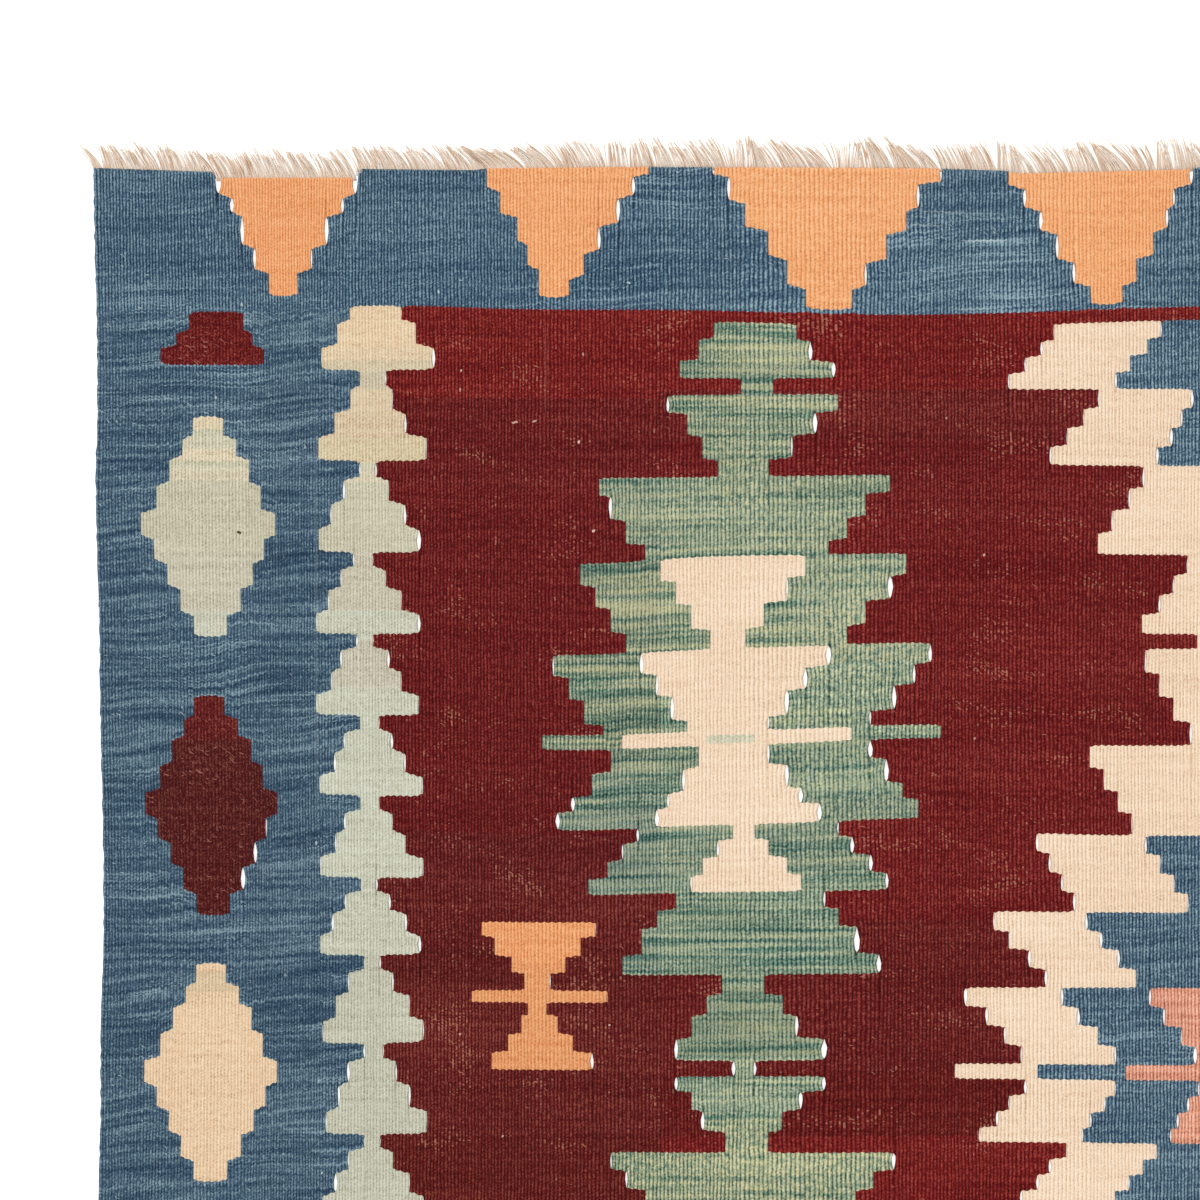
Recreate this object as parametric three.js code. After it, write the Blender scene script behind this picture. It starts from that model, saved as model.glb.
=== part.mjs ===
// A flat-woven wool kilim rug, lying flat: one woven cloth, and at each end the
// warps' own cut ends as a fringe of loose locks.
// Millimetres, +Z up. The length runs along Y with the head end at +Y, and the
// origin is on the floor under the middle of the rug.
import * as THREE from "three";

// Driving sizes of the cloth
const CLOTH_WIDTH = 1384;
const CLOTH_LENGTH = 2640;
const CLOTH_THICKNESS = 2.5;
const EDGE_STEP = 44; // spacing of the points along a long edge

// Driving sizes of a fringe
const CLEARANCE = 0.36; // between the cloth's end and the strip, along the length
const STRIP_DEPTH = 1.8; // the narrow strip that holds the roots
const STRIP_THICKNESS = 2;
const TIP_THICKNESS = 0.8;
const LOCK_COUNT = 144;
const LOCK_ROOT = 6.4; // width of a lock at its root
const LOCK_TIP = 2.6; // and at its tip
const LOCK_BEND_AT = 0.5; // share of its height where a lock bends
const LOCK_BEND_LEAN = 0.4; // share of its lean that it has there
const LOCK_JITTER = { lean: 0.06, reach: 0.8 }; // from one lock to the next
const FURTHEST_REACH = 17; // no lock reaches further out of the strip

// How far a long edge lies inside the full width, from one end to the other.
const SIDE_WAVER = [
  { along: 0, inset: 0 },
  { along: 130, inset: 2.4 },
  { along: 190, inset: 1.3 },
  { along: 290, inset: 3.6 },
  { along: 440, inset: 6 },
  { along: 545, inset: 4.2 },
  { along: 640, inset: 3 },
  { along: 1100, inset: 5 },
  { along: 1600, inset: 2.4 },
  { along: 2100, inset: 4 },
  { along: 2640, inset: 1 },
];

// How far an end's edge lies short of the full length, going in from the corner.
// The steps are where one colour's wefts were beaten down further than the next.
const END_WAVER = [
  { across: 0, dip: 0.6 },
  { across: 68, dip: 2.6 },
  { across: 76, dip: 6 },
  { across: 156, dip: 6 },
  { across: 164, dip: 0.8 },
  { across: 228, dip: 2 },
  { across: 236, dip: 0.8 },
  { across: 328, dip: 0 },
  { across: 500, dip: 0.8 },
  { across: 546, dip: 2.4 },
  { across: 554, dip: 4 },
  { across: 654, dip: 1.6 },
  { across: 662, dip: 0.2 },
  { across: 820, dip: 1.6 },
  { across: 1010, dip: 0.4 },
  { across: 1190, dip: 1.8 },
  { across: CLOTH_WIDTH, dip: 0.6 },
];

// How the locks lie along an end, going in from the corner: lean is the way a tip
// lies towards the corner for each millimetre that it reaches out, and reach is how
// far out of the strip it lies. Past the last row the rows come round again.
const FRINGE_LIE = [
  { across: 0, lean: 0.55, reach: 11 },
  { across: 30, lean: 0.65, reach: 11.5 },
  { across: 68, lean: 0.5, reach: 10.5 },
  { across: 84, lean: 0.55, reach: 12.5 },
  { across: 115, lean: 0.5, reach: 14 },
  { across: 156, lean: 0.55, reach: 13.5 },
  { across: 176, lean: 0.6, reach: 10.5 },
  { across: 226, lean: 0.8, reach: 12 },
  { across: 247, lean: 1.4, reach: 9 },
  { across: 270, lean: 1.1, reach: 10 },
  { across: 292, lean: 0.6, reach: 14 },
  { across: 316, lean: 0.15, reach: 13.5 },
  { across: 342, lean: 0.35, reach: 15 },
  { across: 368, lean: 0.6, reach: 12 },
  { across: 392, lean: 0.1, reach: 16 },
  { across: 415, lean: 0.7, reach: 13.5 },
  { across: 437, lean: 1, reach: 12 },
  { across: 457, lean: 0.1, reach: 14.5 },
  { across: 480, lean: 0.6, reach: 16 },
  { across: 502, lean: 0.95, reach: 11.5 },
  { across: 530, lean: 0.4, reach: 13 },
  { across: 550, lean: 0.2, reach: 16 },
  { across: 568, lean: 0.85, reach: 13 },
  { across: 590, lean: 0.5, reach: 14 },
  { across: 605, lean: 0.5, reach: 15 },
  { across: 625, lean: 0.9, reach: 13.5 },
  { across: 642, lean: 0.15, reach: 15 },
  { across: 662, lean: 0.1, reach: 15 },
];

// The value of a table's column at a place between its rows, eased from row to row.
function between(table, place, column, at, eased) {
  const next = table.findIndex((row) => row[place] >= at);
  if (next === 0) return table[0][column];
  if (next < 0) return table[table.length - 1][column];
  const before = table[next - 1];
  const after = table[next];
  const t = (at - before[place]) / (after[place] - before[place]);
  const share = eased ? t * t * (3 - 2 * t) : t;
  return before[column] + share * (after[column] - before[column]);
}

// The head end's edge: its place along Y at a place across the rug.
function endEdge(x) {
  const across = x + CLOTH_WIDTH / 2;
  return CLOTH_LENGTH / 2 - between(END_WAVER, "across", "dip", across, false);
}

// The strip's outer edge, where the locks begin.
function stripEdge(x) {
  return endEdge(x) + CLEARANCE + STRIP_DEPTH;
}

// The left long edge: its place along X at a distance from the head end.
function sideEdge(along) {
  return -CLOTH_WIDTH / 2 + between(SIDE_WAVER, "along", "inset", along, true);
}

// The head end's two corners along X. The right edge is the left one turned half
// round, so its head corner lies as far in as the left edge's foot corner.
const LEFT_CORNER = sideEdge(0);
const RIGHT_CORNER = -sideEdge(CLOTH_LENGTH);

// Where the head end's edge turns, from its left corner to its right one.
function endPlaces() {
  const turns = END_WAVER.slice(1, -1).map((row) => row.across - CLOTH_WIDTH / 2);
  return [LEFT_CORNER, ...turns, RIGHT_CORNER];
}

// Half of the cloth's outline, from above its left foot corner up the left edge and
// along the head end. The other half is the same, turned half round.
function halfOutline() {
  const points = [];
  const steps = Math.round(CLOTH_LENGTH / EDGE_STEP);
  for (let step = 1; step < steps; step += 1) {
    const along = CLOTH_LENGTH - (step * CLOTH_LENGTH) / steps;
    points.push(new THREE.Vector2(sideEdge(along), CLOTH_LENGTH / 2 - along));
  }
  for (const x of endPlaces()) points.push(new THREE.Vector2(x, endEdge(x)));
  return points;
}

function wovenCloth() {
  const half = halfOutline();
  const turned = half.map((point) => point.clone().negate());
  const outline = new THREE.Shape([...half, ...turned]);
  const geometry = new THREE.ExtrudeGeometry(outline, {
    depth: CLOTH_THICKNESS,
    bevelEnabled: false,
  });
  const wool = new THREE.MeshStandardMaterial({
    color: 0x6f2a28,
    roughness: 0.95,
    metalness: 0,
  });
  const mesh = new THREE.Mesh(geometry, wool);
  mesh.name = "woven_cloth";
  return mesh;
}

// A small uneven share from -1 to 1 for each lock, the same in every run.
function unevenness(number) {
  return Math.sin(number * 12.9898) * Math.cos(number * 4.1414);
}

// One lock's outline, out along its left side and back along its right side.
function lockOutline(number) {
  const pitch = (RIGHT_CORNER - LEFT_CORNER - LOCK_ROOT) / (LOCK_COUNT - 1);
  const x = LEFT_CORNER + LOCK_ROOT / 2 + number * pitch;
  const lastRow = FRINGE_LIE[FRINGE_LIE.length - 1];
  const across = (x + CLOTH_WIDTH / 2) % lastRow.across;
  const uneven = unevenness(number);
  const lie = (column) =>
    between(FRINGE_LIE, "across", column, across, true) + LOCK_JITTER[column] * uneven;
  const lean = lie("lean");
  const reach = lie("reach");
  const stations = [
    { share: 0, width: LOCK_ROOT, lean: 0 },
    { share: LOCK_BEND_AT, width: (LOCK_ROOT + LOCK_TIP) / 2, lean: LOCK_BEND_LEAN },
    { share: 1, width: LOCK_TIP, lean: 1 },
  ];
  const side = (sign) => (station) => {
    const root = stripEdge(x + (sign * LOCK_ROOT * (1 - station.share)) / 2);
    const away = station.lean * lean * reach;
    const place = x - away + (sign * station.width) / 2;
    return new THREE.Vector2(place, root + station.share * reach);
  };
  return [...stations.map(side(-1)), ...stations.map(side(1)).reverse()];
}

// The strip and its locks in one outline, so the roots are fused into the strip.
function fringeOutline() {
  const points = endPlaces()
    .reverse()
    .map((x) => new THREE.Vector2(x, endEdge(x) + CLEARANCE));
  for (let number = 0; number < LOCK_COUNT; number += 1) {
    points.push(...lockOutline(number));
  }
  return new THREE.Shape(points);
}

// Lowers the top face from the strip's thickness to the tips', so that every lock
// lies level on the floor and thins towards its tip.
function thinTowardsTips(geometry) {
  const position = geometry.attributes.position;
  for (let i = 0; i < position.count; i += 1) {
    if (position.getZ(i) === 0) continue;
    const out = position.getY(i) - stripEdge(position.getX(i));
    const share = Math.min(1, Math.max(0, out / FURTHEST_REACH));
    const z = STRIP_THICKNESS + share * (TIP_THICKNESS - STRIP_THICKNESS);
    position.setZ(i, z);
  }
}

function fringe(name) {
  const geometry = new THREE.ExtrudeGeometry(fringeOutline(), {
    depth: STRIP_THICKNESS,
    bevelEnabled: false,
  });
  thinTowardsTips(geometry);
  const warp = new THREE.MeshStandardMaterial({
    color: 0xe3d6c4,
    roughness: 0.9,
    metalness: 0,
  });
  const mesh = new THREE.Mesh(geometry, warp);
  mesh.name = name;
  return mesh;
}

const headFringe = fringe("fringe_head");
const footFringe = fringe("fringe_foot");
footFringe.rotation.z = Math.PI;

const rug = new THREE.Group();
rug.add(wovenCloth(), headFringe, footFringe);

export default rug;
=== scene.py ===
"""A flat-woven wool kilim rug in slit tapestry, lying flat, with its warps' cut ends as fringes.

The cloth is woven here from a weaver's chart: one column for each warp and one row for each
pick of weft. Every yarn colour becomes one closed piece, ribbed over its warps and parted from
its neighbours by slits where the colour changes along a warp. Lengths are in millimetres:
"across" runs from the left selvedge and "along" runs from the head end towards the foot.
"""

import bisect
import math
from collections import namedtuple

import bpy
import numpy as np
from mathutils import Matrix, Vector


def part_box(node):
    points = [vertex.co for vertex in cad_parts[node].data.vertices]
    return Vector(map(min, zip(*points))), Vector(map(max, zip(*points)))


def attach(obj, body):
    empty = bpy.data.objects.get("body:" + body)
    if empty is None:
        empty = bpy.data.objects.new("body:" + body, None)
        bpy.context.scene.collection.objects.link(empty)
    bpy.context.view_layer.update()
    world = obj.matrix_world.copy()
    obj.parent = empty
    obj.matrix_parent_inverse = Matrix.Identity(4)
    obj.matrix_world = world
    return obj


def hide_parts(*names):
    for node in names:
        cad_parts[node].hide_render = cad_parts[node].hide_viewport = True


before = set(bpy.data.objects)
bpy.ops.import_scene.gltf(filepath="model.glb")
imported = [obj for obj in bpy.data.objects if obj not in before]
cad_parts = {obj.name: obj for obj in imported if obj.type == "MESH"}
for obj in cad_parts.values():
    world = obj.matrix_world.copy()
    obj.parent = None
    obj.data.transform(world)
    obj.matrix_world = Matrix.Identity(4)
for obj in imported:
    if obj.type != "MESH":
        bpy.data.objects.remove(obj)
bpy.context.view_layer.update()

MM = 0.001


def table(columns, *rows):
    """Rows with named columns, written as a short table."""
    row = namedtuple("row", columns)
    return [row(*values) for values in rows]


def column(rows, name):
    return np.array([getattr(row, name) for row in rows], float)


def eased(rows, place, name, at):
    """The value of a table's column at places between its rows, eased from row to row."""
    places = column(rows, place)
    values = column(rows, name)
    after = np.clip(np.searchsorted(places, at), 1, len(rows) - 1)
    share = np.clip((at - places[after - 1]) / (places[after] - places[after - 1]), 0, 1)
    share = share * share * (3 - 2 * share)
    return values[after - 1] + share * (values[after] - values[after - 1])


def placed(data):
    """An object that shows its data, and has the data's name."""
    made = bpy.data.objects.new(data.name, data)
    bpy.context.collection.objects.link(made)
    return made


def new_mesh(name, points, faces):
    """A mesh of points in millimetres, and which point each corner of its faces is."""
    mesh = bpy.data.meshes.new(name)
    mesh.from_pydata(points * MM, [], faces)
    corner_of = np.empty(len(mesh.loops), np.int32)
    mesh.loops.foreach_get("vertex_index", corner_of)
    return mesh, corner_of


def spread_map(mesh, name, u, v):
    layer = mesh.uv_layers.new(name=name)
    layer.data.foreach_set("uv", np.column_stack([u, v]).astype(np.float32).ravel())


# The camera, straight above the head end's left part of the rug
PICTURE_SIDE = 0.720  # metres of rug and floor across the square picture
PICTURE_CENTRE = (-0.3882, 1.0602)
CAMERA_HEIGHT = 6.0
CAMERA_REACH = 100.0
SENSOR = 36.0


def place_camera():
    camera = placed(bpy.data.cameras.new("camera"))
    camera.data.sensor_width = SENSOR
    camera.data.lens = SENSOR * CAMERA_HEIGHT / PICTURE_SIDE
    camera.data.clip_end = CAMERA_REACH
    camera.location = (*PICTURE_CENTRE, CAMERA_HEIGHT)
    bpy.context.scene.camera = camera


place_camera()

# Sizes of the cloth, in millimetres
CLOTH_LOW, CLOTH_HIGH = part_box("woven_cloth")
CLOTH_WIDTH = round((CLOTH_HIGH.x - CLOTH_LOW.x) / MM, 1)
CLOTH_LENGTH = round((CLOTH_HIGH.y - CLOTH_LOW.y) / MM, 1)
CLOTH_THICKNESS = round((CLOTH_HIGH.z - CLOTH_LOW.z) / MM, 1)

# How the warps are spaced, going in from a selvedge: where a band ends, and its ribs
WARP_BANDS = table(
    "across ribs",
    (52, 27), (91, 19), (136, 26), (184, 25), (220, 17), (262, 21), (388, 55), (466, 28),
    (502, 15), (544, 20), (598, 22), (CLOTH_WIDTH / 2, 45),
)


def warp_lines():
    """The place of every line between two ribs, the right half mirroring the left one."""
    counts = np.cumsum([0] + [band.ribs for band in WARP_BANDS])
    places = [0] + [band.across for band in WARP_BANDS]
    left = np.interp(np.arange(counts[-1] + 1), counts, places)
    return np.concatenate([left, CLOTH_WIDTH - left[-2::-1]])


LINES = warp_lines()
RIBS = len(LINES) - 1
LINE_NUMBERS = np.arange(RIBS + 1)
PICK = 0.6
PICKS = round(CLOTH_LENGTH / PICK)

# The heights of a rib over the floor
CREST = CLOTH_THICKNESS - 0.1
VALLEY = 1.75
SELVEDGE = 1.1
SLIT_SIDE = 1.15
END_DROP = 0.5  # the last picks at an end lie lower

# How far a long edge lies inside the full width, from one end to the other
SIDE_WAVER = table(
    "along inset",
    (0, 0), (130, 2.4), (190, 1.3), (290, 3.6), (440, 6), (545, 4.2), (640, 3),
    (1100, 5), (1600, 2.4), (2100, 4), (2640, 1),
)

# How far an end's edge lies short of the full length, going in from the corner
END_WAVER = table(
    "across dip",
    (0, 0.6), (73, 3), (74, 6.6), (157.4, 6.4), (158.6, 1.2), (228, 2), (236, 0.8), (328, 0),
    (500, 0.8), (546, 2.4), (554, 4), (654, 1.6), (662, 0.2), (820, 1.6), (1010, 0.4),
    (1190, 1.8), (1384, 0.6),
)

# Where the wefts swell up or sag, and how far they lie off their level there
SWELLS = table(
    "across along width height sag",
    (286, 335, 66, 100, 4.8), (499, 335, 66, 100, -4.8), (304, 240, 44, 16, 3.4),
    (290, 341, 70, 8, -2.4), (490, 341, 70, 8, 2.2), (484, 86, 120, 36, 3),
    (184, 83, 60, 30, -2.4), (682, 83, 60, 30, -1.8),
)

# The yarns, numbered as they stand in the chart
MADDER, OLD_MADDER, INDIGO, APRICOT, CREAM, STRAW, CELADON, SAGE, ROSE = range(9)

chart = np.full((RIBS, PICKS), INDIGO, np.int8)
Slit = namedtuple("Slit", "line first last width")
slits = []

# Like slits don't stand open alike: the share of its width that each takes is left to chance.
LOOSE_SEED = 7
LOOSE = (0.1, 1.3)
looseness = np.random.default_rng(LOOSE_SEED)


def nearest_line(across):
    return int(round(np.interp(across, LINES, LINE_NUMBERS)))


def nearest_pick(along):
    return min(max(int(round(along / PICK)), 0), PICKS)


def weave(yarn, left, right, top, bottom, gapes=(0, 0)):
    """Weaves one block of a yarn. gapes is how wide the slits at its two sides stand open."""
    first = nearest_pick(top)
    last = nearest_pick(bottom)
    sides = nearest_line(left), nearest_line(right)
    chart[sides[0]:sides[1], first:last] = yarn
    for line, width in zip(sides, gapes):
        slits.append(Slit(line, first, last, width))


def weave_ends(yarn, left, right, top, bottom, gapes=(0, 0)):
    """Weaves a block at the head end, and its like at the foot end."""
    weave(yarn, left, right, top, bottom, gapes)
    weave(yarn, left, right, CLOTH_LENGTH - bottom, CLOTH_LENGTH - top, gapes)


def loose(gape):
    """How wide one of several like slits stands open: some are wide, and some are shut."""
    return gape * looseness.uniform(*LOOSE)


# The red field, between the blue border bands
FIELD_TOP = 85.0
FIELD_BOTTOM = CLOTH_LENGTH - FIELD_TOP
MIDDLE = CLOTH_WIDTH / 2

# What several charts list for a tier: where its two sides are, and how wide the slits there
# stand open
SIDES = "left right left_gape right_gape"

# The toothed column: a stack of stepped units, each standing on the next one's neck. Each
# unit's foot and axis are listed for the head end, and further down they are even.
COLUMN_FEET = table(
    "along axis",
    (176, 166), (231, 165), (280, 163), (329, 164), (377, 166), (426, 166),
    (472, 165), (525, 167), (580, 168),
)
COLUMN_AXIS = 167
COLUMN_UNITS_BELOW = 39
COLUMN_TIERS = table(
    "share " + SIDES,
    (0.19, 6.9, 3.6, 1, 0.9), (0.26, 15.9, 11.7, 1.4, 1.3), (0.28, 23.1, 20.4, 1.7, 1.4),
    (0.27, 31, 30.6, 0.8, 2.4),
)

# The first two units, in the warmer yarn, tier by tier, with their sides as places across
HEAD_UNITS = table(
    "bottom " + SIDES,
    (94, 154, 184.5, 0, 0.4), (108, 145, 193, 0, 0), (122, 136.5, 203.5, 0.4, 1.8),
    (132, 160, 174, 0, 0.9), (146.4, 154, 179, 0, 0.8), (160.8, 144.6, 187, 0, 1.3),
    (176, 134.3, 197.8, 0, 0.9),
)


def toothed_column():
    top = FIELD_TOP
    for tier in HEAD_UNITS:
        gapes = tier.left_gape, tier.right_gape
        weave(MADDER, tier.right, MIDDLE, top, tier.bottom)
        weave(STRAW, tier.left, tier.right, top, tier.bottom, gapes)
        top = tier.bottom
    last = COLUMN_FEET[-1].along
    pitch = (FIELD_BOTTOM - last) / COLUMN_UNITS_BELOW
    feet = [(foot.along, foot.axis) for foot in COLUMN_FEET]
    feet += [(last + n * pitch, COLUMN_AXIS) for n in range(1, COLUMN_UNITS_BELOW + 1)]
    for number in range(1, len(feet)):
        top = feet[number - 1][0]
        foot, axis = feet[number]
        weave(MADDER, axis, MIDDLE, top, foot)
        height = foot - top
        for tier in COLUMN_TIERS:
            bottom = top + tier.share * height
            gapes = loose(tier.left_gape), loose(tier.right_gape)
            weave(CELADON, axis - tier.left, axis + tier.right, top, bottom, gapes)
            top = bottom


# The green column, charted from its head to the third wing: how far each tier reaches left
# and right of the axis, the cream heart inside it, and how wide its slits stand open.
GREEN_AXIS = 391
GREEN_TOP = 92
GREEN_TIERS = table(
    "bottom " + SIDES,
    (102, 19, 31, 0, 0), (115, 29, 40, 0, 2.6), (126, 40, 53, 0, 2.6), (136, 2, 16, 0, 0),
    (147, 46, 55, 1.8, 0), (161, 35, 41, 0, 2.8), (175, 26, 28, 0, 1), (186, 17, 14, 0, 0),
    (197, 88, 86, 0, 0), (211, 80, 73, 2, 0), (225, 71, 61, 0, 0), (234, 61, 49, 0, 0),
    (247, 99, 97, 0, 0), (262, 90, 86, 0, 3.2), (277, 80, 71, 0, 0), (289, 71, 62, 0, 0),
    (302, 115, 110, 1, 2.4), (315, 106, 101, 0, 1.8), (330, 96, 89, 0, 2.6),
    (338, 86, 74, 0, 1.2), (346, 122, 118, 0, 0), (359, 82, 74, 0, 3), (373, 93, 84, 0, 3),
    (383, 103, 94, 2.4, 0), (394, 113, 103, 2.6, 0), (403, 65, 55, 1.6, 1),
    (414, 74, 64, 1, 2.4), (425, 83, 74, 0, 2.4), (435, 94, 85, 0, 2), (445, 43, 46, 0, 1.4),
    (456, 53, 55, 0, 0), (472, 62, 67, 0, 3.6), (484, 74, 81, 0, 3), (496, 14, 12, 0, 0),
    (508, 23, 22, 0, 0), (522, 32, 31, 0, 2), (535, 43, 46, 2.2, 3.6), (545, 8, 5, 2.4, 1.8),
    (554, 42, 46, 2, 2.4), (565, 33, 34, 0, 2.4), (578, 25, 22, 2.4, 0), (591, 13, 13, 0, 0),
    (602, 80, 89, 1, 2.4), (613, 71, 78, 1.4, 0), (626, 61, 67, 0, 0),
)
HEART_TIERS = table(
    "bottom " + SIDES,
    (247, 51, 37, 0, 0), (262, 43, 25, 0, 1), (277, 32, 12, 0, 0), (289, 22, 0.1, 0, 0),
    (302, 62, 50, 2.2, 3), (315, 53, 37, 1.4, 2.6), (330, 44, 26, 2, 2.6),
    (338, 34, 14, 0, 1), (346, 74, 65, 0, 0), (359, 29, 14, 0, 1.4), (373, 37, 25, 1.6, 2.2),
    (383, 46, 34, 1.2, 2.8), (394, 54, 44, 2.4, 2.6), (403, 8, 6, 0, 0),
    (414, 16, 14, 1.4, 0), (425, 25, 24, 0, 0), (435, 33, 33, 1, 0),
)
HEART_TOP = 234
HEART_BAR = table("left right top bottom", (23, 5, 340, 345))[0]
REPEAT_FROM = 11  # the row that follows the last one when the repeat comes round
LINK_BAR = 37  # the row of the thin bar in the middle of a link
GREEN_REPEATS = 5
HEAD_LINK = 3  # rows of the half link under the field's top


def column_tier(yarn, tier, top, bottom):
    gapes = tier.left_gape, tier.right_gape
    weave(yarn, GREEN_AXIS - tier.left, GREEN_AXIS + tier.right, top, bottom, gapes)


def green_heart(shift, scale):
    """The cream heart of one repeat, its places along moved by a shift and a scale."""
    top = shift + HEART_TOP * scale
    for tier in HEART_TIERS:
        bottom = shift + tier.bottom * scale
        column_tier(CREAM, tier, top, bottom)
        top = bottom
    sides = GREEN_AXIS - HEART_BAR.left, GREEN_AXIS + HEART_BAR.right
    weave(CELADON, *sides, shift + HEART_BAR.top * scale, shift + HEART_BAR.bottom * scale)


def green_column():
    """Weaves the whole column, and returns how long one of its repeats is."""
    top = GREEN_TOP
    for tier in GREEN_TIERS:
        column_tier(SAGE, tier, top, tier.bottom)
        top = tier.bottom
    green_heart(0, 1)
    start = GREEN_TIERS[REPEAT_FROM - 1].bottom
    charted = top - start
    bar_from_start = GREEN_TIERS[LINK_BAR].bottom - start
    foot_link = CLOTH_LENGTH - GREEN_TIERS[HEAD_LINK].bottom
    whole = GREEN_REPEATS - 1 + bar_from_start / charted
    scale = (foot_link - top) / (whole * charted)
    for repeat in range(GREEN_REPEATS):
        shift = GREEN_TIERS[-1].bottom + (repeat * charted - start) * scale
        last_row = LINK_BAR if repeat == GREEN_REPEATS - 1 else len(GREEN_TIERS) - 1
        for number in range(REPEAT_FROM, last_row + 1):
            above = shift + GREEN_TIERS[number - 1].bottom * scale
            below = shift + GREEN_TIERS[number].bottom * scale
            column_tier(SAGE, GREEN_TIERS[number], above, below)
        green_heart(shift, scale)
    top = foot_link
    for number in reversed(range(HEAD_LINK)):
        above = GREEN_TIERS[number - 1].bottom if number else GREEN_TOP
        column_tier(SAGE, GREEN_TIERS[number], top, CLOTH_LENGTH - above)
        top = CLOTH_LENGTH - above
    return charted * scale


# The medallions on the middle axis. Each group of four tiers runs evenly from its first
# half-width to its last one, for the cream, the blue and the rose inside it.
GROUP = "bottom cream_first cream_last blue_first blue_last rose_first rose_last gape"
MEDALLION_TOP = 93
HEAD_MEDALLION = table(
    GROUP,
    (133, 115, 142, 52, 79, 6, 26, 1.2),
    (179, 89, 118, 33, 54, 0, 0, 1.5),
    (232, 62, 90, 3, 26, 0, 0, 1.2),
    (280, 35, 62, 0, 0, 0, 0, 1),
)
MEDALLION = table(
    GROUP,
    (347, 61, 34, 0, 0, 0, 0, 1.2),
    (401, 93, 68, 26, 3, 0, 0, 0.8),
    (448, 125, 104, 61, 36, 0, 0, 1.5),
    (493, 153, 120, 97, 67, 26, 5, 1.5),
    (539, 168, 136, 111, 80, 58, 32, 1.8),
    (548, 175, 175, 127, 127, 73, 73, 0),
    (586, 133, 160, 79, 100, 30, 47, 1.5),
    (624, 108, 136, 55, 79, 6, 26, 1.5),
    (688, 104, 125, 36, 61, 0, 0, 1.5),
    (745, 68, 93, 3, 26, 0, 0, 1.2),
    (799, 34, 61, 0, 0, 0, 0, 1.2),
)
MEDALLIONS = 4
GAP_BAR = table("top bottom half", (280, 289, 29))[0]
TIERS = 4
HEART_ROW = 5  # the row of a medallion with the blue heart in it
HEART_HALF = 22


def medallion_group(group, top, bottom, turned=False):
    """Four tiers between top and bottom. A turned group has its first tier at the bottom."""
    for tier in range(TIERS):
        share = (TIERS - 1 - tier if turned else tier) / (TIERS - 1)
        above = top + (bottom - top) * tier / TIERS
        below = top + (bottom - top) * (tier + 1) / TIERS
        for yarn, name in ((CREAM, "cream"), (INDIGO, "blue"), (ROSE, "rose")):
            first = getattr(group, name + "_first")
            half = first + share * (getattr(group, name + "_last") - first)
            if half:
                weave(yarn, MIDDLE - half, MIDDLE, above, below, (loose(group.gape), 0))


def medallions():
    top = MEDALLION_TOP
    for group in HEAD_MEDALLION:
        medallion_group(group, top, group.bottom)
        medallion_group(group, CLOTH_LENGTH - group.bottom, CLOTH_LENGTH - top, turned=True)
        top = group.bottom
    waist = GAP_BAR.bottom - GAP_BAR.top
    last = CLOTH_LENGTH - GAP_BAR.top
    charted = MEDALLION[-1].bottom - GAP_BAR.top
    scale = (last - waist - GAP_BAR.top) / (MEDALLIONS * charted)
    for number in range(MEDALLIONS + 1):
        base = GAP_BAR.top + number * charted * scale
        weave(CREAM, MIDDLE - GAP_BAR.half, MIDDLE, base, base + waist)
        if number == MEDALLIONS:
            break
        top = base + waist
        for row, group in enumerate(MEDALLION):
            bottom = base + (group.bottom - GAP_BAR.top) * scale
            medallion_group(group, top, bottom)
            if row == HEART_ROW:
                weave(INDIGO, MIDDLE - HEART_HALF, MIDDLE, top, bottom)
            top = bottom


# The end border's apricot triangles. Each side steps in towards the tip, and each step is
# the side's place across and how far down it runs.
STEP = "across bottom gape"
TRIANGLES = table(
    "left right",
    (
        table(STEP, (74, 16, 3.4), (82, 29, 2.4), (89, 48, 2.2), (96, 63, 1.8), (105, 78, 0)),
        table(STEP, (157, 16, 3.2), (150, 29, 1.8), (140, 48, 2.4), (131, 63, 1), (123, 78, 0)),
    ),
    (
        table(STEP, (235, 13, 0), (245, 29, 0), (254, 45, 0), (259, 60, 0), (266, 78, 0)),
        table(STEP, (332, 5, 0), (324, 18, 2), (314, 35, 2.2), (304, 51, 2), (295, 66, 0),
              (286, 78, 0)),
    ),
    (
        table(STEP, (372, 5, 1.6), (382, 21, 2), (392, 37, 0), (404, 54, 0), (416, 70, 0),
              (426, 83, 0)),
        table(STEP, (508, 9, 1.4), (496, 25, 1.8), (487, 39, 0), (475, 55, 0), (464, 70, 1.4),
              (454, 83, 0)),
    ),
    (
        table(STEP, (550, 10, 0), (559, 25, 2), (568, 39, 2.2), (579, 56, 1.8), (587, 70, 1.8),
              (597, 82, 0)),
        table(STEP, (658, 11, 2.2), (649, 24, 1.4), (643, 38, 1.6), (635, 54, 0), (625, 70, 0),
              (616, 82, 0)),
    ),
)


def end_triangles():
    for triangle in TRIANGLES:
        centre = (triangle.left[-1].across + triangle.right[-1].across) / 2
        for steps in triangle:
            top = 0
            for step in steps:
                gapes = (step.gape, 0) if steps is triangle.left else (0, step.gape)
                weave_ends(APRICOT, *sorted((step.across, centre)), top, step.bottom, gapes)
                top = step.bottom


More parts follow.
